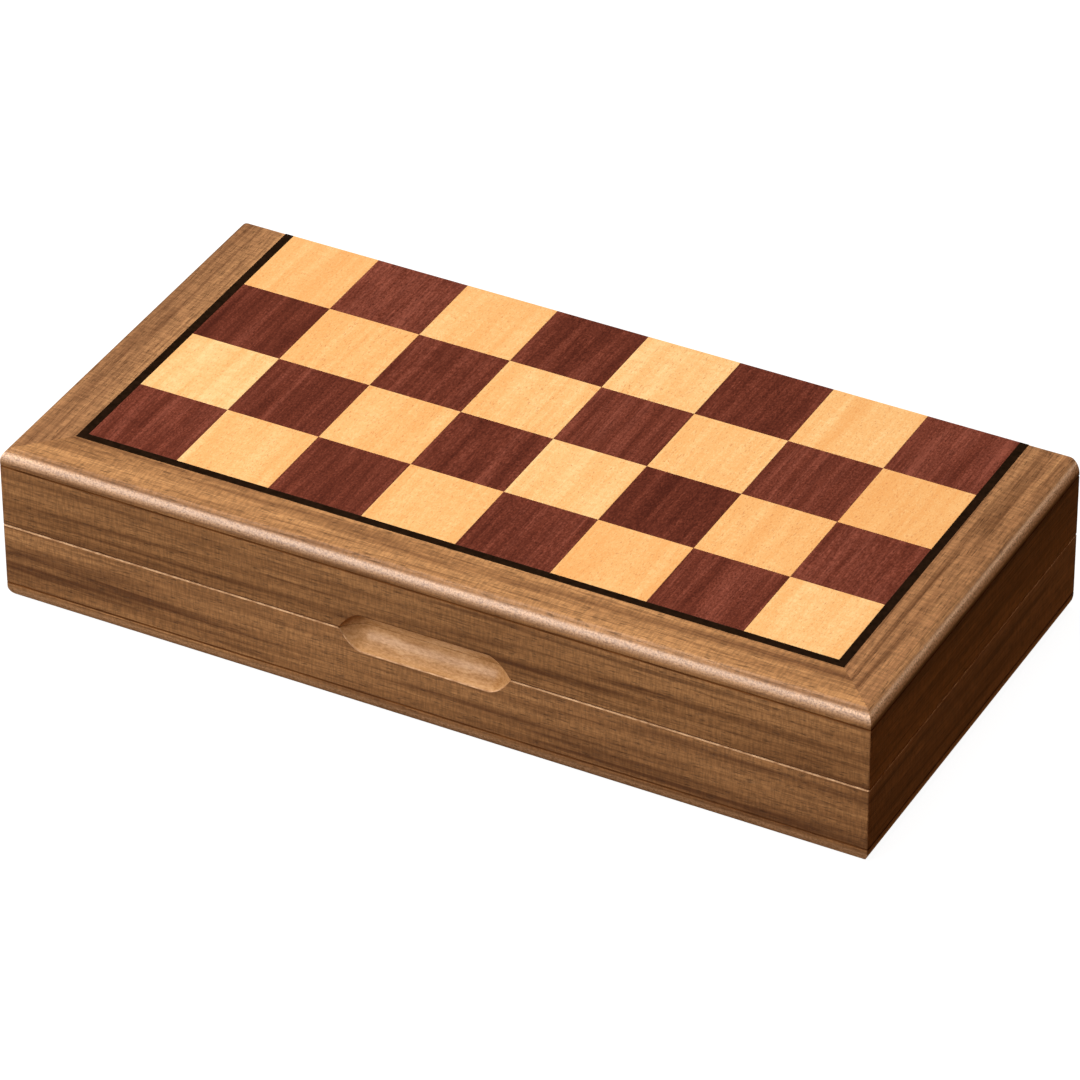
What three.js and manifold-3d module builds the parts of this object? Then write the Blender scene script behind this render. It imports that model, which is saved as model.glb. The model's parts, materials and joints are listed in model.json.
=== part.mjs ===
// A folding chess set: two shallow walnut trays hinged along one long edge, so that their outer faces are
// the two halves of the board. Each tray holds sixteen chessmen, lying in a cut foam insert on a felt lining.
// Millimetres, +Z up. The origin is the middle of the closed case's underside, and the front faces -Y.
import * as THREE from "three";
import { mergeVertices } from "three/addons/utils/BufferGeometryUtils.js";
import Module from "manifold-3d";

// The board and the case
const SQUARE = 32;
const BORDER = 19; // from the edge of the eight squares to the outside of the case
const LENGTH = 8 * SQUARE + 2 * BORDER;
const DEPTH = LENGTH / 2; // of the closed case: half of the open board
const HEIGHT = 55;
const PARTING_GAP = 0.3; // between the rims of the closed halves
const HALF_HEIGHT = (HEIGHT - PARTING_GAP) / 2;
const FOLD_RELIEF = 0.15; // each back face stands this far short of the hinge axis

// Rails, panel and inlay
const WALL = 9;
const ROUND_OVER = { inwards: 3.5, down: 5.5 }; // the long outer edges are quarter ellipses
const ROUND_OVER_STEPS = 6;
const RIM_CHAMFER = 0.7;
const VENEER = 0.8;
const PANEL = 3.4; // plywood under the veneer
const LINE_WIDTH = 2.9; // the black line round the squares
const LINE_OVER_SQUARES = 1; // how much of the outer squares the line takes
const LAP_WIDTH = 3; // the panel lies on a half lap in the rails
const LAP_HEIGHT = 2.5;
const FLOOR = VENEER + PANEL;
const LINE_INSIDE = BORDER + LINE_OVER_SQUARES;
const LINE_OUTSIDE = LINE_INSIDE - LINE_WIDTH;

// Finger scoop across the parting line, in the middle of the front
const SCOOP = { halfLength: 29.3, halfStraight: 21, halfHeight: 6.6, depth: 5.6, tipPower: 2 };

// Lining, insert and chessmen
const LINING = 1.2;
const INSERT = 15;
const INSERT_CLEARANCE = 0.3;
const POCKET_CLEARANCE = 0.5;
const FILE_PITCH = 34;
const FOOT_END = 57.5; // how far from the middle of the case the chessmen's feet lie
const REST_GAP = 0.3; // between a chessman and the lining
const FINGER_TROUGH = { halfLength: 118, back: -3, front: -22, floor: 4 }; // between the two ranks

// Chessmen: heights are from the underside of the foot, and a head is an outline of radius and height
const HORSE_HALF_THICKNESS = 3.8;
const MEN = {
  pawn: { height: 29, foot: 8.6, waist: 3.3, collar: 5.4, collarAt: 18, head: ballHead(5.3, 23.7) },
  rook: {
    height: 33, foot: 9.6, waist: 5.1, collar: 6.6, collarAt: 22,
    head: [[5.7, 24.6], [7.3, 26.4], [7.3, 33], [5.1, 33], [5.1, 30], [0, 30]],
  },
  knight: {
    height: 39, foot: 10, waist: 7.6, collar: 7.8, collarAt: 6.4, head: [[0, 8.4]],
    rests: [[HORSE_HALF_THICKNESS, 39]],
  },
  bishop: {
    height: 42, foot: 9.8, waist: 3.7, collar: 6.3, collarAt: 25.4,
    head: [[3.9, 28], [5.5, 31.4], [5.2, 34.4], [3.2, 37.6], [1, 39.4], [1.5, 40.6], [0, 42]],
  },
  queen: {
    height: 48, foot: 10.4, waist: 4.1, collar: 7, collarAt: 31,
    head: [[4.5, 34], [5.2, 38], [7.2, 43], [5.8, 44.2], [1.6, 45], [1.9, 46.6], [0, 48]],
  },
  king: {
    height: 54, foot: 10.5, waist: 4.4, collar: 7.2, collarAt: 33.4,
    head: [[4.8, 36.4], [5.6, 40.4], [7, 45], [5.4, 46.6], [1.8, 48], [0, 48]],
  },
};
const FOOT_DISC = 2.8;
const SHOULDER = { radius: 0.82, height: 4.4 }; // where the sweep of the body starts, as a share of the foot
const COLLAR_THICKNESS = 1.3;
const SIDES = 12;

// Hinges and magnets
const HINGE = { x: 88, length: 28, leafReach: 8, leaf: 1, knuckle: 2, pin: 1, running: 0.06, play: 0.3 };
const MAGNET = { x: 112, radius: 3, height: 2.2, below: 0.15, clearance: 0.3 };

const RIGHT = LENGTH / 2;
const FRONT = -DEPTH / 2;
const FOLD = DEPTH / 2; // the hinge axis
const BACK = FOLD - FOLD_RELIEF;
const PARTING = HEIGHT / 2;

const finish = (color, roughness, metalness = 0) =>
  new THREE.MeshStandardMaterial({ color, roughness, metalness });
const walnut = finish(0x85603f, 0.45);
const veneers = finish(0xb07a4a, 0.35);
const blackLine = finish(0x15100d, 0.4);
const plywood = finish(0xc9a878, 0.6);
const foam = finish(0x1f3b2d, 0.95);
const felt = finish(0x24452f, 1);
const brass = finish(0xb8944f, 0.3, 1);
const nickel = finish(0xb9bcc0, 0.25, 1);
const boxwood = finish(0xe2b87a, 0.35);
const rosewood = finish(0x55261b, 0.35);

const wasm = await Module();
wasm.setup();

// A closed geometry as a manifold-3d solid, whichever way its faces point.
function solidOf(geometry) {
  const bare = new THREE.BufferGeometry().setAttribute("position", geometry.getAttribute("position").clone());
  bare.setIndex(geometry.index);
  const merged = mergeVertices(bare, 1e-4);
  const corners = new Uint32Array(merged.index.array);
  const build = () =>
    new wasm.Manifold(
      new wasm.Mesh({ numProp: 3, vertProperties: merged.attributes.position.array, triVerts: corners }),
    );
  const made = build();
  if (made.volume() > 0) return made;
  for (let i = 0; i < corners.length; i += 3) [corners[i], corners[i + 1]] = [corners[i + 1], corners[i]];
  return build();
}

function geometryOf(solid) {
  const mesh = solid.getMesh();
  const positions = new THREE.BufferAttribute(new Float32Array(mesh.vertProperties), mesh.numProp);
  const geometry = new THREE.BufferGeometry().setAttribute("position", positions);
  geometry.setIndex(new THREE.BufferAttribute(new Uint32Array(mesh.triVerts), 1));
  return geometry.toNonIndexed();
}

// A solid through rings of points, each ring with as many points as the flat outline that closes its ends.
function loft(rings, outline) {
  const count = outline.length;
  const faces = [];
  for (let r = 0; r < rings.length - 1; r++)
    for (let i = 0; i < count; i++) {
      const a = r * count + i;
      const b = r * count + ((i + 1) % count);
      faces.push(a, b, b + count, a, b + count, a + count);
    }
  const last = (rings.length - 1) * count;
  for (const [a, b, c] of THREE.ShapeUtils.triangulateShape(outline, []))
    faces.push(c, b, a, last + a, last + b, last + c);
  const geometry = new THREE.BufferGeometry();
  const positions = rings.flat().flatMap((p) => p.toArray());
  geometry.setAttribute("position", new THREE.Float32BufferAttribute(positions, 3));
  geometry.setIndex(faces);
  return solidOf(geometry);
}

// A box between two corners.
function block([x0, y0, z0], [x1, y1, z1]) {
  const box = new THREE.BoxGeometry(x1 - x0, y1 - y0, z1 - z0);
  return solidOf(box.translate((x0 + x1) / 2, (y0 + y1) / 2, (z0 + z1) / 2));
}

// A cylinder along X, from its left end.
function rod(radius, left, length, y, z, sides = 16) {
  const cylinder = new THREE.CylinderGeometry(radius, radius, length, sides).rotateZ(Math.PI / 2);
  return solidOf(cylinder.translate(left + length / 2, y, z));
}

const points = (pairs) => pairs.map(([x, y]) => new THREE.Vector2(x, y));

// ---- Rails ----

// Section of the front and side rails: u runs inwards from the outer face, v up from the playing surface.
function railSection() {
  const arc = [];
  for (let i = 0; i <= ROUND_OVER_STEPS; i++) {
    const angle = (i / ROUND_OVER_STEPS) * (Math.PI / 2);
    arc.push([ROUND_OVER.inwards * (1 - Math.cos(angle)), ROUND_OVER.down * (1 - Math.sin(angle))]);
  }
  return points([
    ...arc,
    [LINE_OUTSIDE, 0],
    [LINE_OUTSIDE, VENEER],
    [LINE_INSIDE, VENEER],
    [LINE_INSIDE, LAP_HEIGHT],
    [LINE_INSIDE - LAP_WIDTH, LAP_HEIGHT],
    [LINE_INSIDE - LAP_WIDTH, FLOOR],
    [WALL, FLOOR],
    [WALL, HALF_HEIGHT],
    [RIM_CHAMFER, HALF_HEIGHT],
    [0, HALF_HEIGHT - RIM_CHAMFER],
  ]);
}

// The front rail's ends and the side rails' front ends are mitred, so a point's place along them follows u.
function frontRail() {
  const section = railSection();
  const ring = (side) => section.map((p) => new THREE.Vector3(side * (RIGHT - p.x), FRONT + p.x, p.y));
  return loft([ring(-1), ring(1)], section);
}

function sideRail(side) {
  const section = railSection();
  const front = section.map((p) => new THREE.Vector3(side * (RIGHT - p.x), FRONT + p.x, p.y));
  const back = section.map((p) => new THREE.Vector3(side * (RIGHT - p.x), BACK, p.y));
  return loft([front, back], section);
}

// The back rail stands under the panel, between the side rails.
function backRail() {
  const inner = RIGHT - WALL;
  return block([-inner, BACK - WALL, FLOOR], [inner, BACK, HALF_HEIGHT]);
}

// A boat shape whose cross-section is an ellipse and whose ends draw to a point on the parting plane.
function scoop() {
  const ellipse = Array.from({ length: 16 }, (_, i) => (i / 16) * 2 * Math.PI);
  const outline = ellipse.map((a) => new THREE.Vector2(Math.cos(a), Math.sin(a)));
  const { halfLength, halfStraight, halfHeight, depth, tipPower } = SCOOP;
  const steps = [0, 0.3, 0.55, 0.75, 0.9, 0.98];
  const stations = [
    ...steps.map((t) => -halfStraight - t * (halfLength - halfStraight)).reverse(),
    ...steps.map((t) => halfStraight + t * (halfLength - halfStraight)),
  ];
  const rings = stations.map((x) => {
    const t = Math.max(0, (Math.abs(x) - halfStraight) / (halfLength - halfStraight));
    const size = 1 - t ** tipPower;
    return outline.map(
      (p) => new THREE.Vector3(x, FRONT + depth * size * p.x, PARTING + halfHeight * size * p.y),
    );
  });
  return loft(rings, outline);
}

// ---- Panel, squares and line ----

// A plate over the field, its edges a given distance in from the outer faces.
function fieldPlate(inset, low, high) {
  return block([-RIGHT + inset, FRONT + inset, low], [RIGHT - inset, BACK, high]);
}

// The plywood panel lies on the rails' lap, and runs over the back rail to the fold.
function panel() {
  const upper = block(
    [-RIGHT + LINE_INSIDE - LAP_WIDTH, FRONT + LINE_INSIDE - LAP_WIDTH, LAP_HEIGHT],
    [RIGHT - LINE_INSIDE + LAP_WIDTH, BACK, FLOOR],
  );
  return fieldPlate(LINE_INSIDE, VENEER, LAP_HEIGHT).add(upper);
}

// The black line runs along three sides of the squares and stops at the fold.
function lineInlay() {
  const outer = fieldPlate(LINE_OUTSIDE, 0, VENEER);
  const squares = block([-RIGHT + LINE_INSIDE, FRONT + LINE_INSIDE, -1], [RIGHT - LINE_INSIDE, FOLD, 2]);
  return outer.subtract(squares);
}

// ---- Chessmen ----

function ballHead(radius, centre) {
  return [-0.6, 0, 0.6, 1.1].map((a) => [radius * Math.cos(a), centre + radius * Math.sin(a)])
    .concat([[0, centre + radius]]);
}

// The turned outline: a foot disc, a shoulder, a body that sweeps in to the waist, a collar and the head.
function turnedOutline({ foot, waist, collar, collarAt, head }) {
  const shoulder = SHOULDER.radius * foot;
  const sweep = [0.3, 0.65, 1].map((t) => [
    waist + (shoulder - waist) * (1 - t) ** 2,
    SHOULDER.height + t * (collarAt - SHOULDER.height),
  ]);
  const tooShort = collarAt < 2 * SHOULDER.height;
  return points([
    [0, 0],
    [foot, 0],
    [foot, FOOT_DISC],
    [shoulder, SHOULDER.height],
    ...(tooShort ? [] : sweep),
    [collar, collarAt],
    [collar, collarAt + COLLAR_THICKNESS],
    ...head,
  ]);
}

const turned = (man) => solidOf(new THREE.LatheGeometry(turnedOutline(man), SIDES));

// A flat outline in X and Y, as thick as given and centred on Z.
function slab(outline, thickness) {
  const shape = new THREE.Shape(outline);
  const geometry = new THREE.ExtrudeGeometry(shape, { depth: thickness, bevelEnabled: false });
  return solidOf(geometry.translate(0, 0, -thickness / 2));
}

// Half of a flat outline that is the same on both sides of the axis, given from the foot up.
const mirrored = (half) => points([...half, ...half.map(([x, y]) => [-x, y]).reverse()]);

const kingCross = () =>
  slab(mirrored([[0.9, 47.4], [0.7, 50], [2.5, 49.6], [2.5, 52.2], [0.7, 51.8], [0.9, 54]]), 2);

// The chest, throat, muzzle, forehead, ears and mane, in that order.
const HORSE = [
  [6.2, 7.6], [6.8, 12], [5.8, 16], [3.8, 19.6],
  [5.6, 20.8], [8.6, 19.8], [9.9, 21.6], [9.8, 24.4],
  [7.8, 27.8], [5.4, 31.4], [3.8, 34.6], [2.8, 39],
  [0.4, 35.8], [-3.4, 33.8], [-6.4, 29.4], [-8, 23.4],
  [-7.8, 17], [-7, 12], [-6.4, 7.6],
];
const horseHead = () => slab(points(HORSE), 2 * HORSE_HALF_THICKNESS);

// Cuts four gaps through the rook's battlement.
function cutBattlement(solid) {
  const gap = (wide, deep) => block([-wide, 31, -deep], [wide, 34, deep]);
  return solid.subtract(gap(1.1, 9)).subtract(gap(9, 1.1));
}

// The slanting cut in the bishop's mitre.
function cutMitre(solid) {
  const cut = new THREE.BoxGeometry(6, 1, 14).rotateZ(0.75).translate(4.6, 35.6, 0);
  return solid.subtract(solidOf(cut));
}

const CARVED = {
  king: (solid) => solid.add(kingCross()),
  knight: (solid) => solid.add(horseHead()),
  rook: cutBattlement,
  bishop: cutMitre,
};

const FILES = ["rook", "knight", "bishop", "queen", "king", "bishop", "knight", "rook"];
const RANKS = [
  { kinds: FILES, facing: -1 }, // feet towards the fold
  { kinds: FILES.map(() => "pawn"), facing: 1 }, // feet towards the front
];
const fileX = (file) => (file - 3.5) * FILE_PITCH;

// A lying chessman rests on its foot's rim and on the widest part of its head, so its axis dips to the head.
// The rise is how high its foot's centre lies, and the setback how far in front of its foot's hindmost point.
function lyingPose({ height, foot, head, collar, collarAt, rests }) {
  const touching = rests ?? [...head, [collar, collarAt + COLLAR_THICKNESS]];
  const tilt = Math.min(...touching.map(([radius, at]) => Math.atan2(foot - radius, at - FOOT_DISC)));
  const setback = foot * Math.sin(tilt);
  const rise = foot * Math.cos(tilt) + FOOT_DISC * Math.sin(tilt);
  return { tilt, rise, setback, reach: setback + height * Math.cos(tilt) };
}

// ---- Lining and insert ----

const INSERT_LOW = FLOOR + LINING;
const INSERT_HIGH = INSERT_LOW + INSERT;

const INSIDE = {
  x: RIGHT - WALL - INSERT_CLEARANCE,
  front: FRONT + WALL + INSERT_CLEARANCE,
  back: BACK - WALL - INSERT_CLEARANCE,
};

const sheet = (low, high) => block([-INSIDE.x, INSIDE.front, low], [INSIDE.x, INSIDE.back, high]);

// A pocket's outline from the foot end: as wide as the foot, then tapering to the head's width.
function pocketOutline(man) {
  const wide = man.foot + POCKET_CLEARANCE;
  const slim = man.rests ? wide : man.collar + 3 * POCKET_CLEARANCE;
  const end = lyingPose(man).reach + 2 * POCKET_CLEARANCE;
  const half = [
    [wide - 1, -POCKET_CLEARANCE],
    [wide, 0.5],
    [wide, 6.5],
    [slim, 15],
    [slim, end - 1],
    [slim - 1, end],
  ];
  return mirrored(half);
}

function insert() {
  let solid = sheet(INSERT_LOW, INSERT_HIGH);
  for (const { kinds, facing } of RANKS)
    kinds.forEach((kind, file) => {
      const outline = pocketOutline(MEN[kind])
        .map((p) => new THREE.Vector2(fileX(file) + p.x, facing * (p.y - FOOT_END)));
      const shape = new THREE.Shape(outline);
      const cutter = new THREE.ExtrudeGeometry(shape, { depth: INSERT + 2, bevelEnabled: false });
      solid = solid.subtract(solidOf(cutter.translate(0, 0, INSERT_LOW - 1)));
    });
  const { halfLength, front, back, floor } = FINGER_TROUGH;
  return solid.subtract(block([-halfLength, front, INSERT_LOW + floor], [halfLength, back, INSERT_HIGH + 1]));
}

// ---- Hinges ----

// Each leaf is let into its rim. The knuckles take turns along the pin: the lid's one is between the base's.
const KNUCKLES = {
  base: [[0, 1 / 3], [2 / 3, 1]],
  lid: [[1 / 3, 2 / 3]],
};

function hingeLeaf(centre, half) {
  const up = half === "lid" ? 1 : -1;
  const low = PARTING + up * (PARTING_GAP / 2);
  const [z0, z1] = [low, low + up * HINGE.leaf].sort((a, b) => a - b);
  const left = centre - HINGE.length / 2;
  const leafEnd = FOLD - HINGE.knuckle - HINGE.play;
  let solid = block([left, FOLD - HINGE.leafReach, z0], [left + HINGE.length, leafEnd, z1]);
  for (const [from, to] of KNUCKLES[half]) {
    const start = left + from * HINGE.length + (from ? HINGE.play / 2 : 0);
    const end = left + to * HINGE.length - (to < 1 ? HINGE.play / 2 : 0);
    const tongue = block([start, leafEnd - 0.5, z0], [end, FOLD - HINGE.pin - HINGE.play, z1]);
    solid = solid.add(rod(HINGE.knuckle, start, end - start, FOLD, PARTING)).add(tongue);
  }
  return solid.subtract(rod(HINGE.pin + HINGE.running, left - 1, HINGE.length + 2, FOLD, PARTING));
}

const hingePin = (centre) => rod(HINGE.pin, centre - HINGE.length / 2, HINGE.length, FOLD, PARTING);

// What the hinges take out of a back rail: a bed for the leaf and a hollow for the knuckles.
function hingeBed(centre) {
  const left = centre - HINGE.length / 2 - HINGE.play;
  const length = HINGE.length + 2 * HINGE.play;
  const bed = block(
    [left, FOLD - HINGE.leafReach - HINGE.play, HALF_HEIGHT - HINGE.leaf],
    [left + length, FOLD + 1, HALF_HEIGHT + 1],
  );
  return bed.add(rod(HINGE.knuckle + HINGE.play, left, length, FOLD, PARTING));
}

// ---- Magnets ----

const MAGNET_Y = FRONT + WALL / 2;

function disc(radius, low, high, x) {
  const cylinder = new THREE.CylinderGeometry(radius, radius, high - low, 16).rotateX(Math.PI / 2);
  return solidOf(cylinder.translate(x, MAGNET_Y, (low + high) / 2));
}

const magnetTop = HALF_HEIGHT - MAGNET.below;
const magnetDisc = (side) => disc(MAGNET.radius, magnetTop - MAGNET.height, magnetTop, side * MAGNET.x);
const magnetBed = (side) =>
  disc(
    MAGNET.radius + MAGNET.clearance,
    magnetTop - MAGNET.height - MAGNET.clearance,
    HALF_HEIGHT + 1,
    side * MAGNET.x,
  );

// ---- Assembly ----

function place(parent, name, solid, material) {
  const mesh = new THREE.Mesh(geometryOf(solid), material);
  mesh.name = name;
  parent.add(mesh);
  return mesh;
}

const SIDES_OF_CASE = { left: -1, right: 1 };

// One half of the case, as it lies with its playing surface down. Turning it over swaps its left and right.
function caseHalf(name, turned = 1) {
  const half = new THREE.Group();
  let front = frontRail().subtract(scoop());
  let back = backRail();
  for (const side of Object.values(SIDES_OF_CASE)) {
    front = front.subtract(magnetBed(side));
    back = back.subtract(hingeBed(side * HINGE.x));
  }
  place(half, `${name}_front_rail`, front, walnut);
  place(half, `${name}_back_rail`, back, walnut);
  for (const [side, sign] of Object.entries(SIDES_OF_CASE)) {
    place(half, `${name}_${side}_rail`, sideRail(sign * turned), walnut);
    place(half, `${name}_${side}_magnet`, magnetDisc(sign * turned), nickel);
  }
  place(half, `${name}_panel`, panel(), plywood);
  place(half, `${name}_square_veneer`, fieldPlate(LINE_INSIDE, 0, VENEER), veneers);
  place(half, `${name}_line_inlay`, lineInlay(), blackLine);
  place(half, `${name}_lining`, sheet(FLOOR, INSERT_LOW), felt);
  place(half, `${name}_insert`, insert(), foam);
  return half;
}

// Sixteen chessmen in two ranks, lying in the pockets of one half.
function chessmen(colour, material) {
  const set = new THREE.Group();
  const solids = Object.fromEntries(
    Object.entries(MEN).map(([kind, man]) => [kind, (CARVED[kind] ?? ((solid) => solid))(turned(man))]),
  );
  const counts = {};
  for (const { kinds, facing } of RANKS)
    kinds.forEach((kind, file) => {
      counts[kind] = (counts[kind] ?? 0) + 1;
      const number = kind === "king" || kind === "queen" ? "" : `_${counts[kind]}`;
      const { tilt, rise, setback } = lyingPose(MEN[kind]);
      const mesh = place(set, `${colour}_${kind}${number}`, solids[kind], material);
      mesh.position.set(fileX(file), facing * (setback - FOOT_END), INSERT_LOW + REST_GAP + rise);
      mesh.rotation.set(-tilt, 0, facing < 0 ? Math.PI : 0, "ZYX");
    });
  return set;
}

const base = caseHalf("base");
base.add(chessmen("dark", rosewood));

const lid = caseHalf("lid", -1);
lid.add(chessmen("light", boxwood));
lid.rotation.y = Math.PI;
lid.position.z = HEIGHT;

const hinges = new THREE.Group();
for (const [side, sign] of Object.entries(SIDES_OF_CASE)) {
  const centre = sign * HINGE.x;
  place(hinges, `${side}_hinge_base_leaf`, hingeLeaf(centre, "base"), brass);
  place(hinges, `${side}_hinge_lid_leaf`, hingeLeaf(centre, "lid"), brass);
  place(hinges, `${side}_hinge_pin`, hingePin(centre), brass);
}

const chessSet = new THREE.Group();
chessSet.add(base, lid, hinges);
export default chessSet;
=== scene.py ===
import json
import math

import bmesh
import bpy
import numpy as np
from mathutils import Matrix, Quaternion, Vector


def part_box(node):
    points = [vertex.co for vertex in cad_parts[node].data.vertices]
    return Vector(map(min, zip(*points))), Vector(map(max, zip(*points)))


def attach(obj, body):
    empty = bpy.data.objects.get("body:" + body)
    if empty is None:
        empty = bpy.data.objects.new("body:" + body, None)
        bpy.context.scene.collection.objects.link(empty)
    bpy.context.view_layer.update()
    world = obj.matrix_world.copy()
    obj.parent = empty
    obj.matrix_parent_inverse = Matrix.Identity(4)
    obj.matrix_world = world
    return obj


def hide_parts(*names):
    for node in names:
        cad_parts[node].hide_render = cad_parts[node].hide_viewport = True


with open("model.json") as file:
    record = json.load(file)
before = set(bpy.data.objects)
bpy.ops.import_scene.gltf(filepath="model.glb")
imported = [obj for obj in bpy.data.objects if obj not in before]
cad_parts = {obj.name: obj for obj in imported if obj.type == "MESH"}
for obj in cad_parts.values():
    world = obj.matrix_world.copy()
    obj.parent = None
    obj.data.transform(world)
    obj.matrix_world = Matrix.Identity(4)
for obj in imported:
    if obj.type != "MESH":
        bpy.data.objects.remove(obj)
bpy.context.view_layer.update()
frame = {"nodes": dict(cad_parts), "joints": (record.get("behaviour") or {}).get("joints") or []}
mm = 0.001
mergeDistance = 1e-7

# Where the case is: one half lies with its playing face on z = 0, the other is the same half turned over.
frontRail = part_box("base_front_rail")
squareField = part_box("base_square_veneer")
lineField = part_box("base_line_inlay")
rightEnd = frontRail[1].x
frontFace = frontRail[0].y
rimHeight = frontRail[1].z
backFace = squareField[1].y
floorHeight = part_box("base_panel")[1].z
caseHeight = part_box("lid_front_rail")[1].z
parting = caseHeight / 2
hingeAxis = Vector(frame["joints"][0]["pos_m"])
halves = ("base", "lid")


# turns places half a turn about the case's middle, so what was underneath is on top and left is right.
def turnOver(points):
    return points * (-1, 1, -1) + (0, 0, caseHeight)


def placed(points, half):
    return turnOver(points) if half == "lid" else points


# quads between neighbours of an array of points, rows by columns, with a row or column seam if closed.
def gridSurface(points, closedAlong=False, closedRound=False):
    rows, columns = points.shape[:2]
    index = np.arange(rows * columns).reshape(rows, columns)
    if closedAlong:
        index = np.vstack([index, index[:1]])
    if closedRound:
        index = np.hstack([index, index[:, :1]])
    quads = np.stack([index[:-1, :-1], index[:-1, 1:], index[1:, 1:], index[1:, :-1]], axis=-1)
    return points.reshape(-1, 3), quads.reshape(-1, 4).tolist()


# a closed body through rings of points, rows being the rings, with a flat face at each end.
def swept(sections):
    points, faces = gridSurface(sections, closedRound=True)
    count = sections.shape[1]
    first = list(range(count))[::-1]
    last = list(range(len(points) - count, len(points)))
    return points, faces + [first, last]


# radius and height pairs turned about an axis: x = r cos a, y = r sin a, z = h, one row for each angle a.
def turnedPoints(profile, sides):
    angle = np.linspace(0, 2 * math.pi, sides, endpoint=False)[:, None]
    radius, height = np.asarray(profile, float).T
    return np.stack([radius * np.cos(angle), radius * np.sin(angle), height + 0 * angle], axis=-1)


# a turned body about z, or about x where alongX is set.
def lathe(profile, sides, alongX=False):
    points = turnedPoints(profile, sides)
    return gridSurface(points[..., [2, 0, 1]] if alongX else points, closedAlong=True)


# puts several bodies' points and faces in one list.
def joined(*parts):
    points, faces, start = [], [], 0
    for partPoints, partFaces in parts:
        points.append(partPoints)
        faces += [[corner + start for corner in face] for face in partFaces]
        start += len(partPoints)
    return np.vstack(points), faces


def meshOf(name, part):
    points, faces = part
    mesh = bpy.data.meshes.new(name)
    mesh.from_pydata(np.asarray(points).tolist(), [], faces)
    return mesh


# a mesh's points, one row each.
def pointsOf(mesh):
    places = np.zeros(len(mesh.vertices) * 3)
    mesh.vertices.foreach_get("co", places)
    return places.reshape(-1, 3)


def facesOf(mesh):
    return [list(polygon.vertices) for polygon in mesh.polygons]


# an object at the origin that holds a mesh, curve, camera or light, in the scene.
def linked(name, data):
    made = bpy.data.objects.new(name, data)
    bpy.context.scene.collection.objects.link(made)
    return made


# the shape of an object as its modifiers leave it, as a new mesh.
def evaluated(piece):
    bpy.context.view_layer.update()
    return bpy.data.meshes.new_from_object(piece.evaluated_get(bpy.context.evaluated_depsgraph_get()))


# merges doubled points and points the faces outwards.
def cleaned(mesh):
    build = bmesh.new()
    build.from_mesh(mesh)
    bmesh.ops.remove_doubles(build, verts=build.verts, dist=mergeDistance)
    bmesh.ops.recalc_face_normals(build, faces=build.faces)
    build.to_mesh(mesh)
    build.free()


# a mesh object at the origin from points and faces, shaded smooth up to an angle, riding on a body.
def makePiece(name, part, body, materials, replaces=(), sharp=35, tones=None):
    mesh = meshOf(name, part)
    if tones is not None:
        attribute = mesh.attributes.new("tone", "FLOAT_COLOR", "POINT")
        attribute.data.foreach_set("color", np.asarray(tones, float).ravel())
    cleaned(mesh)
    for material in materials:
        mesh.materials.append(material)
    piece = linked(name, mesh)
    finishPiece(piece, body, replaces, sharp)
    return piece


# smooth shading up to the sharp angle, then the piece's body and the nodes it stands for.
def finishPiece(piece, body, replaces=(), sharp=35):
    piece.data.shade_smooth()
    piece.data.set_sharp_from_angle(angle=math.radians(sharp))
    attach(piece, body)
    if replaces:
        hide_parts(*replaces)


# each corner of an outline becomes an arc of its radius, as a quadratic curve between the two tangents.
def roundCorners(corners, radii, steps):
    corners = np.asarray(corners, float)
    before = np.roll(corners, 1, axis=0) - corners
    after = np.roll(corners, -1, axis=0) - corners
    lengthBefore = np.linalg.norm(before, axis=1, keepdims=True)
    lengthAfter = np.linalg.norm(after, axis=1, keepdims=True)
    reach = np.minimum(np.asarray(radii, float)[:, None], 0.48 * np.minimum(lengthBefore, lengthAfter))
    start = corners + before / lengthBefore * reach
    end = corners + after / lengthAfter * reach
    points = []
    for corner, begin, finish, count in zip(corners, start, end, steps):
        t = np.linspace(0, 1, count)[:, None] if count > 1 else np.array([[0.5]])
        points.append((1 - t) ** 2 * begin + 2 * t * (1 - t) * corner + t**2 * finish)
    return np.vstack(points)


# one shader node, with its inputs either linked from another node's output or set.
def node(tree, kind, inputs=None, **settings):
    made = tree.nodes.new("ShaderNode" + kind)
    for key, value in settings.items():
        setattr(made, key, value)
    for key, value in (inputs or {}).items():
        if isinstance(value, bpy.types.NodeSocket):
            tree.links.new(value, made.inputs[key])
        else:
            made.inputs[key].default_value = value
    return made


# a ramp through grey levels or linear colours, each with its place from 0 to 1.
def ramp(tree, factor, stops):
    made = node(tree, "ValToRGB", {"Fac": factor})
    elements = made.color_ramp.elements
    while len(elements) < len(stops):
        elements.new(0.5)
    for element, (place, colour) in zip(elements, stops):
        element.position = place
        element.color = (*colour, 1) if isinstance(colour, tuple) else (colour, colour, colour, 1)
    return made.outputs["Color"]


# a ramp from 0 at one place to 1 at another, either way round.
def between(tree, value, dark, light):
    return ramp(tree, value, sorted([(dark, 0.0), (light, 1.0)]))


def mix(tree, factor, first, second):
    return node(tree, "Mix", {0: factor, 6: first, 7: second}, data_type="RGBA").outputs[2]


# a linear colour from the usual 0 to 255 values.
def colourOf(red, green, blue):
    levels = np.array([red, green, blue]) / 255
    linear = np.where(levels > 0.04045, ((levels + 0.055) / 1.055) ** 2.4, levels / 12.92)
    return tuple(float(level) for level in linear)


# a ramp through colours of 0 to 255, at as many places.
def coloured(tree, level, places, palette):
    return ramp(tree, level, [(place, colourOf(*colour)) for place, colour in zip(places, palette)])


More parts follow.
